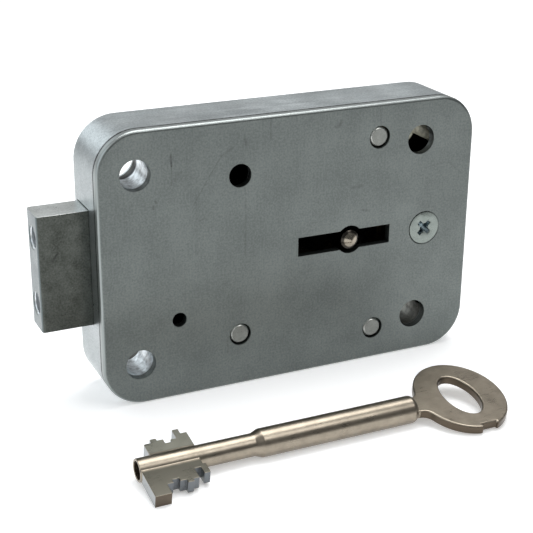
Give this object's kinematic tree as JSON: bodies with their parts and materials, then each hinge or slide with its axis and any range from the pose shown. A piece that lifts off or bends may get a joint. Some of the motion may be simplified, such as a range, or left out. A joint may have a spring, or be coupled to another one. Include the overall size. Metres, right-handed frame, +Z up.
{
  "type": "safe lock",
  "caption": "Key operated lever lock for a safe door: flat rectangular case, sliding bolt, spring loaded levers and a hollow double bitted key.",
  "frame": {"origin": "centre of the four fixing holes, in the front face that has the keyhole and goes against the door", "axes": "+X along the case away from the bolt, +Y from the front face into the case, +Z up; the lock stands on its long lower edge"},
  "size_m": [0.109, 0.0629, 0.0662],
  "materials": {
    "case_zinc": "bright zinc on a cast case, satin",
    "cover_zinc": "zinc plated sheet steel, satin, lightly scratched",
    "screw_zinc": "bright zinc plated",
    "pin_steel": "turned steel",
    "post_steel": "turned and polished steel",
    "bolt_steel": "drawn steel, satin, scratched",
    "lever_brass": "stamped brass",
    "spring_steel": "spring steel strip",
    "key_nickel": "satin nickel plated"
  },
  "bodies": {
    "case": {"case": "case_zinc", "cover_plate": "cover_zinc", "cover_screw": "screw_zinc", "key_post": "post_steel", "upper_lever_pin": "pin_steel", "lower_lever_pin": "pin_steel", "bolt_guide_pin": "pin_steel", "upper_lever_spacers": "lever_brass", "lower_lever_spacers": "lever_brass", "lever_spring_1": "spring_steel", "lever_spring_2": "spring_steel", "lever_spring_3": "spring_steel", "lever_spring_4": "spring_steel", "lever_spring_5": "spring_steel", "lever_spring_6": "spring_steel", "lever_spring_7": "spring_steel"},
    "bolt": {"bolt": "bolt_steel", "bolt_stump": "pin_steel"},
    "key": {"key_blade": "key_nickel", "key_bow": "key_nickel"},
    "lever_1": {"lever_1": "lever_brass"},
    "lever_2": {"lever_2": "lever_brass"},
    "lever_3": {"lever_3": "lever_brass"},
    "lever_4": {"lever_4": "lever_brass"},
    "lever_5": {"lever_5": "lever_brass"},
    "lever_6": {"lever_6": "lever_brass"},
    "lever_7": {"lever_7": "lever_brass"}
  },
  "joints": [
    {"name": "bolt_slide", "type": "slide", "parent": "case", "child": "bolt", "axis": [1, 0, 0], "range_m": [0, 0.01]},
    {"name": "lever_1_turn", "type": "hinge", "parent": "case", "child": "lever_1", "pos_m": [0.025, 0, 0.02485], "axis": [0, 1, 0], "range_deg": [0, 4.88], "stiffness_Nm_per_rad": 0.05, "deforming": ["lever_spring_1"]},
    {"name": "lever_2_turn", "type": "hinge", "parent": "case", "child": "lever_2", "pos_m": [0.025, 0, -0.02485], "axis": [0, -1, 0], "range_deg": [0, 5.69], "stiffness_Nm_per_rad": 0.05, "deforming": ["lever_spring_2"]},
    {"name": "lever_3_turn", "type": "hinge", "parent": "case", "child": "lever_3", "pos_m": [0.025, 0, 0.02485], "axis": [0, 1, 0], "range_deg": [0, 5.28], "stiffness_Nm_per_rad": 0.05, "deforming": ["lever_spring_3"]},
    {"name": "lever_4_turn", "type": "hinge", "parent": "case", "child": "lever_4", "pos_m": [0.025, 0, -0.02485], "axis": [0, -1, 0], "range_deg": [0, 4], "stiffness_Nm_per_rad": 0.05, "deforming": ["lever_spring_4"]},
    {"name": "lever_5_turn", "type": "hinge", "parent": "case", "child": "lever_5", "pos_m": [0.025, 0, 0.02485], "axis": [0, 1, 0], "range_deg": [0, 5.19], "stiffness_Nm_per_rad": 0.05, "deforming": ["lever_spring_5"]},
    {"name": "lever_6_turn", "type": "hinge", "parent": "case", "child": "lever_6", "pos_m": [0.025, 0, -0.02485], "axis": [0, -1, 0], "range_deg": [0, 4.97], "stiffness_Nm_per_rad": 0.05, "deforming": ["lever_spring_6"]},
    {"name": "lever_7_turn", "type": "hinge", "parent": "case", "child": "lever_7", "pos_m": [0.025, 0, 0.02485], "axis": [0, 1, 0], "range_deg": [0, 5.21], "stiffness_Nm_per_rad": 0.05, "deforming": ["lever_spring_7"]},
    {"name": "key_lift", "type": "slide", "parent": "case", "child": "key", "axis": [0, 0, 1], "range_m": [0, 0.07]}
  ],
  "couplings": [
    {"joint": "lever_1_turn", "follows": "bolt_slide", "rad_per_m": 8.5137},
    {"joint": "lever_2_turn", "follows": "bolt_slide", "rad_per_m": 9.9274},
    {"joint": "lever_3_turn", "follows": "bolt_slide", "rad_per_m": 9.2188},
    {"joint": "lever_4_turn", "follows": "bolt_slide", "rad_per_m": 6.9813},
    {"joint": "lever_5_turn", "follows": "bolt_slide", "rad_per_m": 9.0617},
    {"joint": "lever_6_turn", "follows": "bolt_slide", "rad_per_m": 8.6691},
    {"joint": "lever_7_turn", "follows": "bolt_slide", "rad_per_m": 9.1019}
  ]
}
